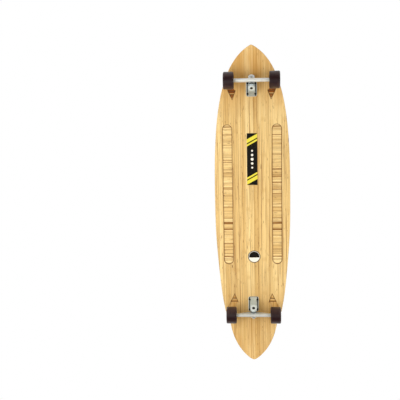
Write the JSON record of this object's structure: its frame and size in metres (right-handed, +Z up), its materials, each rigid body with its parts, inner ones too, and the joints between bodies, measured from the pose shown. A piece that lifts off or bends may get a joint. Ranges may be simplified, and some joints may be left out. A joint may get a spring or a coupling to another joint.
{
  "type": "longboard skateboard",
  "caption": "Long pintail board of laminated bamboo with grooves in its underside, on sprung reverse-kingpin trucks with large wide wheels.",
  "frame": {"origin": "on the ground under the middle of the deck", "axes": "+Z up, the nose along -Y, +X to the right seen from above with the nose away"},
  "size_m": [0.394, 1.676, 0.134],
  "materials": {
    "bamboo_face": "clear lacquer over strips of bamboo laid lengthwise",
    "bamboo_crossband": "bamboo laid crosswise",
    "bamboo_core": "bamboo laid lengthwise",
    "cast_aluminium": "cast and tumbled",
    "zinc_steel": "zinc plated",
    "black_steel": "black oxide",
    "bearing_steel": "ground and polished",
    "shield_steel": "pressed sheet",
    "wheel_urethane": "cast urethane, satin",
    "wheel_core": "moulded",
    "bushing": "cast urethane",
    "pivot_cup": "cast urethane",
    "riser": "translucent pale urethane"
  },
  "bodies": {
    "deck": {"deck_bottom_ply": "bamboo_face", "deck_lower_crossband": "bamboo_crossband", "deck_core_ply": "bamboo_core", "deck_upper_crossband": "bamboo_crossband", "deck_top_ply": "bamboo_face", "front_riser_pad": "riser", "front_baseplate": "cast_aluminium", "front_pivot_cup": "pivot_cup", "front_mounting_screws": "black_steel", "front_lock_nuts": "zinc_steel", "front_kingpin": "zinc_steel", "front_boardside_bushing": "bushing", "front_roadside_bushing": "bushing", "front_base_washer": "zinc_steel", "front_cup_washer": "zinc_steel", "front_kingpin_nut": "zinc_steel", "rear_riser_pad": "riser", "rear_baseplate": "cast_aluminium", "rear_pivot_cup": "pivot_cup", "rear_mounting_screws": "black_steel", "rear_lock_nuts": "zinc_steel", "rear_kingpin": "zinc_steel", "rear_boardside_bushing": "bushing", "rear_roadside_bushing": "bushing", "rear_base_washer": "zinc_steel", "rear_cup_washer": "zinc_steel", "rear_kingpin_nut": "zinc_steel"},
    "front_hanger": {"front_hanger": "cast_aluminium", "front_axle": "zinc_steel", "front_axle_nuts": "zinc_steel", "front_speed_washers": "zinc_steel", "front_bearing_spacers": "zinc_steel", "front_inner_races": "bearing_steel"},
    "front_left_wheel": {"front_left_tyre": "wheel_urethane", "front_left_core": "wheel_core", "front_left_outer_races": "bearing_steel", "front_left_balls": "bearing_steel", "front_left_shields": "shield_steel"},
    "front_right_wheel": {"front_right_tyre": "wheel_urethane", "front_right_core": "wheel_core", "front_right_outer_races": "bearing_steel", "front_right_balls": "bearing_steel", "front_right_shields": "shield_steel"},
    "rear_hanger": {"rear_hanger": "cast_aluminium", "rear_axle": "zinc_steel", "rear_axle_nuts": "zinc_steel", "rear_speed_washers": "zinc_steel", "rear_bearing_spacers": "zinc_steel", "rear_inner_races": "bearing_steel"},
    "rear_left_wheel": {"rear_left_tyre": "wheel_urethane", "rear_left_core": "wheel_core", "rear_left_outer_races": "bearing_steel", "rear_left_balls": "bearing_steel", "rear_left_shields": "shield_steel"},
    "rear_right_wheel": {"rear_right_tyre": "wheel_urethane", "rear_right_core": "wheel_core", "rear_right_outer_races": "bearing_steel", "rear_right_balls": "bearing_steel", "rear_right_shields": "shield_steel"}
  },
  "joints": [
    {"name": "front_steer", "type": "hinge", "parent": "deck", "child": "front_hanger", "pos_m": [0, -0.62336, 0.04336], "axis": [0, -0.7071, 0.7071], "range_deg": [-15, 15], "stiffness_Nm_per_rad": 60, "deforming": ["front_boardside_bushing", "front_roadside_bushing"]},
    {"name": "front_left_spin", "type": "hinge", "parent": "front_hanger", "child": "front_left_wheel", "pos_m": [-0.1128, -0.658, 0.044], "axis": [1, 0, 0], "continuous": true},
    {"name": "front_right_spin", "type": "hinge", "parent": "front_hanger", "child": "front_right_wheel", "pos_m": [0.1128, -0.658, 0.044], "axis": [1, 0, 0], "continuous": true},
    {"name": "rear_steer", "type": "hinge", "parent": "deck", "child": "rear_hanger", "pos_m": [0, 0.52936, 0.04336], "axis": [0, 0.7071, 0.7071], "range_deg": [-15, 15], "stiffness_Nm_per_rad": 60, "deforming": ["rear_boardside_bushing", "rear_roadside_bushing"]},
    {"name": "rear_left_spin", "type": "hinge", "parent": "rear_hanger", "child": "rear_left_wheel", "pos_m": [-0.1128, 0.564, 0.044], "axis": [1, 0, 0], "continuous": true},
    {"name": "rear_right_spin", "type": "hinge", "parent": "rear_hanger", "child": "rear_right_wheel", "pos_m": [0.1128, 0.564, 0.044], "axis": [1, 0, 0], "continuous": true}
  ]
}
